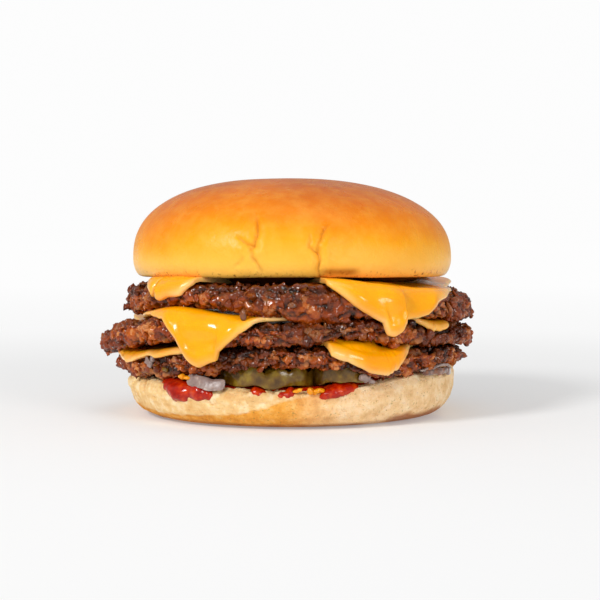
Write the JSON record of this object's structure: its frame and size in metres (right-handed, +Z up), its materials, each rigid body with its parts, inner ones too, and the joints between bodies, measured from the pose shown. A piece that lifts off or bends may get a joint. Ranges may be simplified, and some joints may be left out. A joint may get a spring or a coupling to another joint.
{
  "type": "triple cheeseburger",
  "caption": "Stacked cheeseburger in a round soft bun, with thin craggy beef patties, melted cheese corners that hang over their edges, pickle chips, onion, ketchup and mustard.",
  "frame": {"origin": "centre of the flat base of the bottom bun, which the burger rests on", "axes": "+Z up through the stack; -Y towards the side the picture shows; +X to the right as seen from there, along the widest extent"},
  "size_m": [0.12, 0.1154, 0.076],
  "materials": {
    "bun_crust": "baked golden crust, soft sheen",
    "bun_crumb": "pale torn crumb, matte",
    "beef": "seared minced beef, wet glints",
    "cheese": "melted, smooth and glossy",
    "pickle": "wet, slightly translucent",
    "onion": "wet, translucent",
    "ketchup": "wet gloss",
    "mustard": "wet gloss"
  },
  "bodies": {
    "root": {"bun_crown": "bun_crust", "bun_heel": "bun_crumb", "patty_top": "beef", "patty_middle": "beef", "patty_bottom": "beef", "cheese_top": "cheese", "cheese_middle": "cheese", "cheese_bottom": "cheese", "pickle_left": "pickle", "pickle_right": "pickle", "onion_slice": "onion", "onion_strand": "onion", "ketchup": "ketchup", "mustard": "mustard"}
  },
  "joints": []
}
